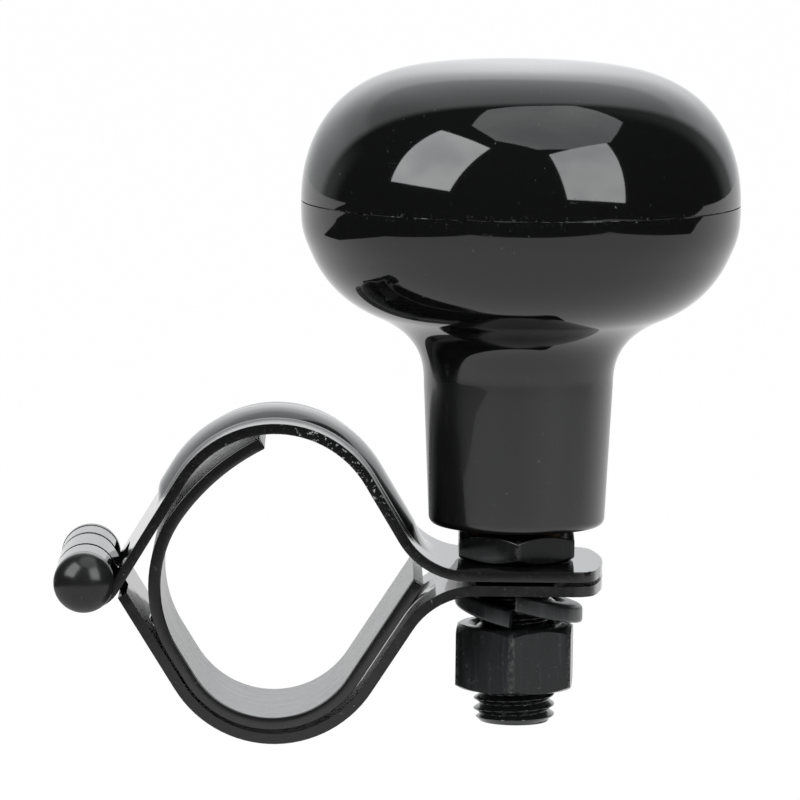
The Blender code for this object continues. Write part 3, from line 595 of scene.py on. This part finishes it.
SHANK_R = 4.93 * MM
SHANK_END = -18.45 * MM
PITCH = 1.25 * MM
THREAD_H = 0.72 * MM
THREAD_RUNOUT = -1.6 * MM
THREAD_TAPER = 0.85 * MM
FLANK_SLOPE = 2.6
CREST_FLAT = 0.14
COLLAR_LOW = 1.6 * MM
COLLAR_TOP = 5.6 * MM
SHANK_SUNK = 0.3 * MM
SPINDLE_SUNK = 0.4 * MM
HEX_AF = 14 * MM
HEX_CHAMFER = radians(30)
HEX_EDGE = 0.1 * MM
COLLAR_LOW_FLAT = 0.95
COLLAR_TOP_FLAT = 0.85
BORE_FLARE = 0.55 * MM
SPINDLE_R = 4 * MM
SPINDLE_CHAMFER = 0.8 * MM
SHOULDER_R = 4.95 * MM
RACE_SEAT = 6.75 * MM
SPINDLE_TOP = 35.15 * MM


def hexagon(name, across_flats, low, high, turn, low_share, high_share, bore=None):
    """A hexagon with its corners turned off on a cone; a share is the flat left on that end."""
    corner = across_flats / sqrt(3)
    shape = bmesh.new()
    bmesh.ops.create_cone(
        shape, cap_ends=True, segments=6, radius1=corner, radius2=corner, depth=high - low,
        matrix=Matrix.Translation((KNOB_X, 0, (low + high) / 2)) @ Matrix.Rotation(turn, 4, "Z"),
    )
    mesh = bpy.data.meshes.new(name)
    shape.to_mesh(mesh)
    shape.free()
    made = solid(name, mesh)
    spread = 1.1 * corner
    ends = []
    for share, level, way in ((high_share, high, 1), (low_share, low, -1)):
        flat = share * across_flats / 2
        outer = level - way * (spread - flat) * tan(HEX_CHAMFER)
        ends.append([(0, level), (flat, level), (spread, outer)])
    blank = turn_piece(f"{name}_blank", ends[0] + ends[1][::-1], (KNOB_X, 0, 0), 96)
    cut = made.modifiers.new("Blank", "BOOLEAN")
    cut.operation = "INTERSECT"
    cut.object = blank
    helpers = [blank]
    if bore:
        wide = bore + 2 * BORE_FLARE
        core = [(0, high + BORE_FLARE), (wide, high + BORE_FLARE), (bore, high - BORE_FLARE)]
        core += [(bore, low + BORE_FLARE), (wide, low - BORE_FLARE), (0, low - BORE_FLARE)]
        drill = turn_piece(f"{name}_drill", core, (KNOB_X, 0, 0), 64)
        through = made.modifiers.new("Bore", "BOOLEAN")
        through.object = drill
        helpers.append(drill)
    bevel(made, HEX_EDGE, 2, 24)
    apply_modifiers(made, 15)
    for helper in helpers:
        bpy.data.objects.remove(helper)
    return made


class Recipe(Bench):
    """A Geometry Nodes tree under construction, with named numbers as its inputs."""

    def __init__(self, name, **given):
        super().__init__(bpy.data.node_groups.new(name, "GeometryNodeTree"))
        face = self.tree.interface
        face.new_socket("Geometry", in_out="OUTPUT", socket_type="NodeSocketGeometry")
        self.values = {}
        for label, value in given.items():
            socket = face.new_socket(label, in_out="INPUT", socket_type="NodeSocketFloat")
            self.values[socket.identifier] = float(value)
        self.entry = self.tree.nodes.new("NodeGroupInput")

    def given(self, label):
        return Wire(self, self.entry.outputs[label])

    def vector(self, x=0.0, y=0.0, z=0.0):
        return self.node("ShaderNodeCombineXYZ", None, {"X": x, "Y": y, "Z": z})

    def make(self, name, shape, material, sharp=35):
        """What the recipe gives, as a plain mesh object."""
        real = self.node("GeometryNodeRealizeInstances", None, {"Geometry": shape})
        coated = self.node("GeometryNodeSetMaterial", None, {"Geometry": real, "Material": material})
        self.tree.links.new(coated.socket, self.tree.nodes.new("NodeGroupOutput").inputs["Geometry"])
        made = solid(name, bpy.data.meshes.new(name))
        run = made.modifiers.new("Recipe", "NODES")
        run.node_group = self.tree
        for identifier, value in self.values.items():
            run[identifier] = value
        return apply_modifiers(made, sharp)


def oxide_steel(name, level, polish, scratch, turn=0.0):
    """Black oxide on steel: oily and satin, with brush marks, and a patchy paler grey painted along a
    hexagon's corners as a highlight.
    """
    finish = Finish(name)
    place = finish.where()
    cloud = finish.noise(place, 240, 4, 0.6)
    marks = finish.noise(place, 2200, 3, 0.6, (1, 1, 0.05))
    specks = finish.band(finish.noise(place, 1600, 3, 0.6), 0.62, 0.72)
    across, deep = finish.part(place, "X") - KNOB_X, finish.part(place, "Y")
    # The hexagon's corners, outside its flats, broken into patches: where a highlight is painted.
    outer = finish.band((across * across + deep * deep).maths("SQRT"), HEX_AF / 2, HEX_AF / 2 + 0.6 * MM)
    corner = abs(((deep.maths("ARCTAN2", across) - turn) / radians(60)).maths("FRACT") - 0.5)
    highlight_patches = finish.band(finish.noise(place, 1400, 4, 0.7), 0.4, 0.66)
    paler_area = finish.band(corner, 0.07, 0.005) * outer * highlight_patches
    brushed = finish.band(marks, 0.45, 0.7)
    base = finish.tint(cloud * 0.4 + brushed * 0.6, grey(level * 0.7, -0.04), grey(level * 2, -0.08))
    # Paler grey painted along the corners stands in for their highlight; the specks are wear.
    worn_and_highlit = finish.tint(paler_area * 0.8 + specks * 0.25, base, grey(level * 4 + 0.05, 0.03))
    rough = polish + cloud * 0.05 + marks * scratch + paler_area * 0.2
    bump = finish.bump(marks, 0.4, 0.00002, finish.bump(specks, 0.3, 0.00003))
    return finish.set(Base_Color=worn_and_highlit, Roughness=rough, Metallic=0.35, IOR=1.55, Normal=bump)


bolt_steel = oxide_steel("bolt_oxide", 0.007, 0.14, 0.08)
thread = Recipe(
    "thread",
    Pitch=PITCH,
    Depth=THREAD_H,
    Radius=SHANK_R,
    Foot=SHANK_END,
    Runout=THREAD_RUNOUT,
    Top=COLLAR_LOW + SHANK_SUNK,
    Taper=THREAD_TAPER,
    Phase=0.5,
)
sheet = {"Size X": 1.0, "Size Y": 1.0, "Vertices X": 97, "Vertices Y": 321}
rolled = thread.node("GeometryNodeMeshGrid", None, sheet)
spot = thread.node("GeometryNodeInputPosition")
around = thread.part(spot, "X")
share = thread.part(spot, "Y") + 0.5
height = thread.given("Foot") + share * (thread.given("Top") - thread.given("Foot"))
phase = (height / thread.given("Pitch") - around + thread.given("Phase")).maths("FRACT")
groove = (abs(phase - 0.5) * FLANK_SLOPE - CREST_FLAT).most(0.0).least(1.0)
fade = thread.band((thread.given("Runout") - height) / thread.given("Pitch"), -0.2, 0.8)
chamfer = (thread.given("Taper") + thread.given("Foot") - height).most(0.0)
ends = (share * 100000).least(1.0) * ((1 - share) * 100000).least(1.0)
radius = (thread.given("Radius") - (thread.given("Depth") * groove * fade).most(chamfer)) * ends
turn = around * (2 * pi)
shell = thread.vector(radius * turn.maths("COSINE") + KNOB_X, radius * turn.maths("SINE"), height)
wrapped = thread.node("GeometryNodeSetPosition", None, {"Geometry": rolled, "Position": shell})
closed = thread.node("GeometryNodeMergeByDistance", None, {"Geometry": wrapped, "Distance": 0.000001})
shank = thread.make("shank", closed, bolt_steel)
spindle_foot = COLLAR_TOP - SPINDLE_SUNK
spindle_outline = [
    (0, SPINDLE_TOP),
    (SPINDLE_R - SPINDLE_CHAMFER, SPINDLE_TOP),
    (SPINDLE_R, SPINDLE_TOP - SPINDLE_CHAMFER),
    (SPINDLE_R, RACE_SEAT),
    (SHOULDER_R, RACE_SEAT),
    (SHOULDER_R, spindle_foot),
    (0, spindle_foot),
]
spindle = turn_piece("spindle", spindle_outline, (KNOB_X, 0, 0), 64)
collar = hexagon("collar", HEX_AF, COLLAR_LOW, COLLAR_TOP, 0, COLLAR_LOW_FLAT, COLLAR_TOP_FLAT)
whole = bmesh.new()
for helper in (shank, spindle, collar):
    whole.from_mesh(helper.data)
    bpy.data.objects.remove(helper)
bmesh.ops.recalc_face_normals(whole, faces=whole.faces)
mesh = bpy.data.meshes.new("spindle_bolt_threaded")
whole.to_mesh(mesh)
whole.free()
bolt = solid("spindle_bolt_threaded", mesh)
mesh.shade_smooth()
mesh.set_sharp_from_angle(angle=radians(15))
wear_finish(bolt, bolt_steel, "black_steel", "clamp", "spindle_bolt")

# Spring washer
# A split ring of square spring steel, with its ends sprung apart so that it keeps the nut tight.
# It hangs loose here, tilted between the lower tab's bend and the nut.

WASHER_R = 7.8 * MM
WASHER_BORE = 5.45 * MM
WASHER_T = 2.2 * MM
WASHER_RISE = 2.2 * MM
WASHER_SPLIT = radians(5)
WASHER_START = radians(-97) + WASHER_SPLIT / 2
WASHER_TILT = tan(radians(11.5))
WASHER_SHIFT = 0.43 * MM
WASHER_TOP = -1.85 * MM
WASHER_EDGE = 0.5 * MM

spring_steel = oxide_steel("spring_oxide", 0.02, 0.22, 0.14)
ring = Recipe(
    "wound_ring",
    Radius=(WASHER_R + WASHER_BORE) / 2,
    Width=WASHER_R - WASHER_BORE,
    Thickness=WASHER_T,
    Edge=WASHER_EDGE,
    Rise=-WASHER_RISE,
    Turns=1 - WASHER_SPLIT / (2 * pi),
    Tilt=WASHER_TILT,
)
radius = ring.given("Radius")
wound = {
    "Resolution": 128,
    "Rotations": ring.given("Turns"),
    "Start Radius": radius,
    "End Radius": radius,
    "Height": ring.given("Rise"),
    "Reverse": True,
}
coil = ring.node("GeometryNodeCurveSpiral", None, wound)
coil = ring.node("GeometryNodeTransform", None, {"Geometry": coil, "Rotation": (0, 0, WASHER_START)})
coil = ring.node("GeometryNodeSetCurveNormal", {"mode": "Z_UP"}, {"Curve": coil})
bar = {"Width": ring.given("Width"), "Height": ring.given("Thickness")}
bar = ring.node("GeometryNodeCurvePrimitiveQuadrilateral", {"mode": "RECTANGLE"}, bar)
rounding = {"Curve": bar, "Radius": ring.given("Edge"), "Count": 5}
bar = ring.node("GeometryNodeFilletCurve", {"mode": "POLY"}, rounding)
swept = ring.node("GeometryNodeCurveToMesh", None, {"Curve": coil, "Profile Curve": bar, "Fill Caps": True})
across = ring.part(ring.node("GeometryNodeInputPosition"), "X")
lean = ring.vector(WASHER_SHIFT + KNOB_X, 0.0, WASHER_TOP - WASHER_T / 2 - across * ring.given("Tilt"))
hung = ring.node("GeometryNodeSetPosition", None, {"Geometry": swept, "Offset": lean})
washer = ring.make("spring_washer_wound", hung, spring_steel)
wear_finish(washer, spring_steel, "black_steel", "washer", "spring_washer")

# Clamp nut
# A hexagon nut with its top corners turned off, in black oxide, run up on the bolt under the washer.
# Its corners carry a patchy paler grey, a painted highlight.

NUT_LOW = -14.15 * MM
NUT_TOP = -6.35 * MM
NUT_LOW_FLAT = 1.0
NUT_TOP_FLAT = 0.95
NUT_BORE_R = 5.13 * MM
NUT_TURN = radians(-4)

nut = hexagon(
    "clamp_nut_chamfered",
    HEX_AF,
    NUT_LOW,
    NUT_TOP,
    NUT_TURN,
    NUT_LOW_FLAT,
    NUT_TOP_FLAT,
    NUT_BORE_R,
)
nut_steel = oxide_steel("nut_oxide", 0.012, 0.06, 0.28, NUT_TURN)
wear_finish(nut, nut_steel, "black_steel", "nut", "clamp_nut")

# Bearings and their fastening
# Two small deep-groove ball bearings on the spindle, with a spacer tube between their inner races,
# held down by a washer and a lock nut. They are ground bearing steel with pressed brass cages.


def ground_steel():
    """Ground and oiled bearing steel."""
    finish = Finish("ground_steel")
    place = finish.where()
    lines = finish.noise(place, 900, 2, 0.5, (0.4, 0.4, 6))
    cloud = finish.noise(place, 220, 3, 0.5)
    color = finish.tint(cloud, grey(0.42), grey(0.56))
    rough = 0.16 + lines * 0.12
    worked = finish.bump(lines, 0.1, 0.00002)
    return finish.set(Base_Color=color, Metallic=1.0, Roughness=rough, Normal=worked)


def cage_brass():
    """Pressed brass with a dull skin."""
    finish = Finish("pressed_brass")
    cloud = finish.noise(finish.where(), 500, 4, 0.6)
    color = finish.tint(cloud, (0.42, 0.27, 0.09, 1), (0.62, 0.43, 0.17, 1))
    rough = 0.26 + cloud * 0.16
    worked = finish.bump(cloud, 0.1, 0.00003)
    return finish.set(Base_Color=color, Metallic=1.0, Roughness=rough, Normal=worked)


bearing_steel, brass = ground_steel(), cage_brass()
for name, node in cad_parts.items():
    fastening = name in ("bearing_spacer", "top_washer", "lock_nut")
    if fastening or name.startswith(("lower_bearing", "upper_bearing")):
        node.data.materials.clear()
        node.data.materials.append(brass if name.endswith("cage") else bearing_steel)

# Knob body
# The lower bowl and the long stem, moulded as one in gloss black plastic and bored for the bearings.
# Its rim meets the cap in a fine groove, where a little moulding flash was left.

KNOB_R = 26.67 * MM
KNOB_SQUARE = 3.6
BOWL_H = 15.8 * MM
BOWL_END_R = 17.6 * MM
RIM_POWER = 2.6
RIM_UPRIGHT = 1.5 * MM
RIM_BLEND = 5 * MM
NECK_R = 11.5 * MM
NECK_END = -22 * MM
NECK_PULL = 4.2 * MM
KNOB_WALL = 2.4 * MM
STEM_R = 10.72 * MM
STEM_L = 39.4 * MM
STEM_CORNER = 1 * MM
PARTING = 45.25 * MM
GROOVE = 0.07 * MM
GROOVE_DEPTH = 0.3 * MM
RIM_EASED = 0.02 * MM
POCKET_R = 8.1 * MM
WELL_R = 7.2 * MM
LOWER_POCKET_TOP = -33.3 * MM
UPPER_POCKET_FOOT = -24.5 * MM
UPPER_POCKET_TOP = -19.3 * MM
POCKET_MOUTH = (9 * MM, -18.5 * MM)
HOLLOW_FOOT = (11 * MM, -15 * MM)


def bowl_curve(radius, depth, end_r, count):
    """The bowl from its rim inwards, below the parting line, with its first millimetres almost upright."""
    full = acos((end_r / radius) ** (KNOB_SQUARE / 2))
    points = []
    for i in range(count + 1):
        drop = depth * sin(full * i / count)
        sunk = drop / depth
        round_r = radius * (1 - sunk**2) ** (1 / KNOB_SQUARE)
        upright_r = radius * (1 - sunk**RIM_POWER) ** (1 / KNOB_SQUARE)
        share = smooth((drop - RIM_UPRIGHT) / RIM_BLEND)
        points.append((upright_r + (round_r - upright_r) * share, -drop))
    return points


def bezier(corners, count):
    """Points of a cubic curve, without its first."""
    points = []
    for i in range(1, count + 1):
        t = i / count
        weights = ((1 - t) ** 3, 3 * t * (1 - t) ** 2, 3 * t * t * (1 - t), t**3)
        points.append(tuple(sum(w * c[k] for w, c in zip(weights, corners)) for k in (0, 1)))
    return points


bowl_out = bowl_curve(KNOB_R, BOWL_H, BOWL_END_R, 36)
slope = Vector(bowl_out[-1]) - Vector(bowl_out[-2])
pull = Vector(bowl_out[-1]) + slope.normalized() * NECK_PULL
neck = [bowl_out[-1], tuple(pull), (NECK_R, NECK_END + NECK_PULL), (NECK_R, NECK_END)]
outline = bowl_out + bezier(neck, 24)
foot_centre = (STEM_R - STEM_CORNER, -STEM_L + STEM_CORNER)
outline += between(outline[-1], (STEM_R, foot_centre[1]), 6)
outline += arc(foot_centre, STEM_CORNER, 0, -pi / 2, radians(9))
outline[0] = (KNOB_R - RIM_EASED, -GROOVE)
seat = GROOVE * 0.6
lip = [(KNOB_R - GROOVE_DEPTH, -seat)]
inner = bowl_curve(KNOB_R - KNOB_WALL, BOWL_H - KNOB_WALL, BOWL_END_R - KNOB_WALL, 14)
inner[0] = (KNOB_R - KNOB_WALL, -seat)
bores = [(POCKET_R, -STEM_L), (POCKET_R, LOWER_POCKET_TOP), (WELL_R, LOWER_POCKET_TOP)]
bores += [(WELL_R, UPPER_POCKET_FOOT), (POCKET_R, UPPER_POCKET_FOOT), (POCKET_R, UPPER_POCKET_TOP)]
inside = bores + [POCKET_MOUTH, HOLLOW_FOOT] + inner[::-1]
body = turn_piece("knob_body_moulded", lip + outline + inside, (KNOB_X, 0, PARTING), 128)


def gloss_plastic():
    """Gloss black moulded plastic with dust and handling scuffs; the stem is a little less polished."""
    finish = Finish("gloss_plastic")
    place = finish.where()
    sink = finish.noise(place, 45, 2, 0.4)
    haze = finish.noise(place, 160, 5, 0.65)
    dust = finish.band(finish.noise(place, 1500, 2, 0.5), 0.72, 0.8)
    scuff = finish.band(finish.noise(place, 520, 5, 0.7, (1, 1, 2.4)), 0.64, 0.76)
    height = finish.part(place, "Z")
    seam = finish.band(abs(height - PARTING), 0.9 * MM, 0.05 * MM)
    stem = finish.band(height, PARTING - 17 * MM, PARTING - 23 * MM)
    crumbs = finish.band(finish.noise(place, 2300, 4, 0.7), 0.6, 0.68) * seam
    marks = scuff * (0.1 + seam * 0.4) + crumbs * 0.5
    color = finish.tint(dust * 0.4 + marks, grey(0.0033, -0.02), grey(0.09))
    rough = 0.03 + haze * 0.03 + dust * 0.25 + marks * 0.5 + stem * 0.28
    worked = finish.bump(scuff, 0.06, 0.00003, finish.bump(sink, 0.05, 0.0006))
    finish.set(Coat_Weight=stem * 0.4, Coat_Roughness=0.03)
    return finish.set(Base_Color=color, Roughness=rough, IOR=1.5, Normal=worked)


gloss_black = gloss_plastic()
wear_finish(body, gloss_black, "gloss_black", "knob", "knob_body")

# Knob cap
# A squarish dome moulded in the same gloss black, snapped onto the bowl by a spigot inside its rim.
# The hand rests on it, and it mirrors the studio's lights.

CAP_H = 16.95 * MM
CAP_CROWN = 2.1
SPIGOT_ROOM = 0.55 * MM
SPIGOT_R = KNOB_R - KNOB_WALL - SPIGOT_ROOM
SPIGOT_W = 1.7 * MM
SPIGOT_L = 3 * MM


def cap_curve(radius, height, count):
    """A squarish dome from its top to its rim."""
    points = [(0, height)]
    for i in range(1, count + 1):
        t = pi / 2 * (1 - i / count)
        points.append((radius * cos(t) ** (2 / KNOB_SQUARE), height * sin(t) ** (2 / CAP_CROWN)))
    return points


dome_out = cap_curve(KNOB_R, CAP_H, 72)
dome_out[-1] = (KNOB_R - RIM_EASED, GROOVE)
dome_in = cap_curve(SPIGOT_R - SPIGOT_W, CAP_H - KNOB_WALL, 20)
rim = [(KNOB_R - GROOVE_DEPTH, seat), (SPIGOT_R, seat)]
rim += [(SPIGOT_R, -SPIGOT_L), (SPIGOT_R - SPIGOT_W, -SPIGOT_L)]
cap = turn_piece("knob_cap_moulded", dome_out + rim + dome_in[::-1], (KNOB_X, 0, PARTING), 128)
wear_finish(cap, gloss_black, "gloss_black", "knob", "knob_cap")

# Moulding flash
# A hair of plastic squeezed out along the parting line and left there, thicker in some places than in
# others. It catches the lights as a broken pale line round the knob.

FLASH_SUNK = 0.03 * MM
FLASH_T = 0.07 * MM
FLASH_WANDER = 0.1 * MM

flash = Recipe(
    "parting_flash",
    Radius=KNOB_R - FLASH_SUNK,
    Level=PARTING,
    Thickness=FLASH_T,
    Wander=FLASH_WANDER,
)
loop = {"Resolution": 900, "Radius": flash.given("Radius")}
loop = flash.node("GeometryNodeCurvePrimitiveCircle", {"mode": "RADIUS"}, loop)
spot = flash.node("GeometryNodeInputPosition")
left_on = flash.band(flash.part(spot, "Y"), -9 * MM, -19 * MM, 0.05, 1.0)
swell = flash.band(flash.noise(spot, 320, 5, 0.75), 0.4, 0.64, 0.1, 1.5) * left_on
drift = (flash.noise(spot, 120, 3, 0.6) - 0.5) * flash.given("Wander")
lift = flash.vector(KNOB_X, 0.0, drift + flash.given("Level"))
loop = flash.node("GeometryNodeSetPosition", None, {"Geometry": loop, "Offset": lift})
bead = {"Resolution": 7, "Radius": flash.given("Thickness")}
bead = flash.node("GeometryNodeCurvePrimitiveCircle", {"mode": "RADIUS"}, bead)
line = flash.node("GeometryNodeCurveToMesh", None, {"Curve": loop, "Profile Curve": bead, "Scale": swell})
flash_line = flash.make("parting_flash", line, gloss_black, 60)
wear_finish(flash_line, gloss_black, "gloss_black", "knob")

# Studio
# A white floor that ends a little behind the camera, two square soft lights in front and one overhead,
# and a pale wall at the back. The room behind the camera is dark, as the black plastic shows.

FLOOR_Z = -198 * MM
WINDOW_AWAY = 0.6
FLOOR_EDGE = [
    (-6, 9), (-6, 1.6), (-0.72, 0.62), (-0.64, 0.3), (-0.95, -0.24),
    (-0.62, -1.25), (1.3, -1.25), (1.45, 0.2), (6, 2), (6, 9),
]
LEFT_WINDOW = [(-73.7, 13.1), (-70.9, 56.1), (-22.7, 47.8), (-38.7, 11.9)]
RIGHT_WINDOW = [(15.9, 43), (59.1, 47.3), (53.3, 4.5), (22.2, 8.4)]
TOP_WINDOW = [
    (-56.2, 66.8), (-42.1, 63.8), (-21.3, 55.7), (9.2, 47.9), (33.5, 46), (62.5, 47.2), (76.6, 52.1),
    (97.3, 55.7), (116.8, 66), (134, 70.3), (148.2, 77.4), (-163.3, 81.3), (-117, 78.7),
]


def flat_shape(name, corners, material):
    """A flat polygon of the studio."""
    mesh = bpy.data.meshes.new(name)
    shape = bmesh.new()
    face = shape.faces.new([shape.verts.new(corner) for corner in corners])
    bmesh.ops.triangulate(shape, faces=[face])
    shape.to_mesh(mesh)
    shape.free()
    made = solid(name, mesh)
    mesh.materials.append(material)
    return made


paper = Finish("floor_paper")
sights = ("Is Camera Ray", "Is Glossy Ray", "Is Transmission Ray")
rays = [paper.node("ShaderNodeLightPath", take=ray) for ray in sights]
shown = sum(rays, 0.0).least(1.0)
glow = paper.node("ShaderNodeEmission", None, {"Color": (1, 1, 1, 1), "Strength": 1.04})
chalk = paper.node("ShaderNodeBsdfDiffuse", None, {"Color": (0.9, 0.9, 0.9, 1)})
both = paper.node("ShaderNodeMixShader", None, {0: shown * 0.94, 1: chalk, 2: glow})
paper.tree.links.new(both.socket, paper.tree.nodes["Material Output"].inputs["Surface"])
flat_shape("floor", [(x, y, FLOOR_Z) for x, y in reversed(FLOOR_EDGE)], paper.material)


def window(name, outline, radiance):
    """A soft light of this outline, given as (turn, rise) in degrees seen from the knob."""
    diffuser = Finish(name)
    cloud = diffuser.noise(diffuser.where(), 3.5, 2, 0.5)
    color = diffuser.tint(diffuser.band(cloud, 0.35, 0.65), (0.86, 0.88, 0.9, 1), (1.1, 1.11, 1.11, 1))
    light = diffuser.node("ShaderNodeEmission", None, {"Color": color, "Strength": radiance})
    diffuser.tree.links.new(light.socket, diffuser.tree.nodes["Material Output"].inputs["Surface"])
    corners = []
    for turn, rise in outline:
        turn, rise = radians(turn), radians(rise)
        way = Vector((sin(turn) * cos(rise), -cos(turn) * cos(rise), sin(rise)))
        corners.append(Vector((KNOB_X, 0, PARTING)) + way * WINDOW_AWAY)
    made = flat_shape(name, corners, diffuser.material)
    made.visible_camera = False
    made.visible_shadow = False


window("left_window", LEFT_WINDOW, 6.7)
window("right_window", RIGHT_WINDOW, 5.8)
window("top_window", TOP_WINDOW, 1.95)

world = bpy.data.worlds.new("studio")
bpy.context.scene.world = world
world.use_nodes = True
room = Bench(world.node_tree)
way = room.node("ShaderNodeTexCoord", take="Generated")
way_x, way_y, way_z = (room.part(way, axis) for axis in "XYZ")
to_right = way_x.most(0.0)
behind = way_y + way_z * 0.45 - way_x * 0.08 - to_right * 0.12
fringe = room.band(behind, 0.4, 0.6) * (room.band(way_z, 0.5, 0.1) + to_right).least(1.0) * 0.26
panel = room.band(way_z, 0.0, 0.3) * 0.26 + room.band(way_z, 0.1, 0.36) * room.band(way_z, 0.6, 0.52) * 0.4
wall = room.band(behind, 0.62, 0.74) * (0.78 + panel) * (1 - room.band(abs(way_x), 0.25, 0.6) * 0.3)
floor_line = room.band(way_z, -0.17, -0.13)
walls = 0.03 + (wall + fringe) * floor_line
rays = [room.node("ShaderNodeLightPath", take=ray) for ray in ("Is Camera Ray", "Is Transmission Ray")]
seen = sum(rays, 0.0).least(1.0)
level = walls * (1 - seen) + seen
background = world.node_tree.nodes["Background"].inputs
room.tree.links.new(level.socket, background["Strength"])
background["Color"].default_value = (0.97, 0.99, 1.0, 1)
bpy.context.scene.view_settings.view_transform = "Standard"
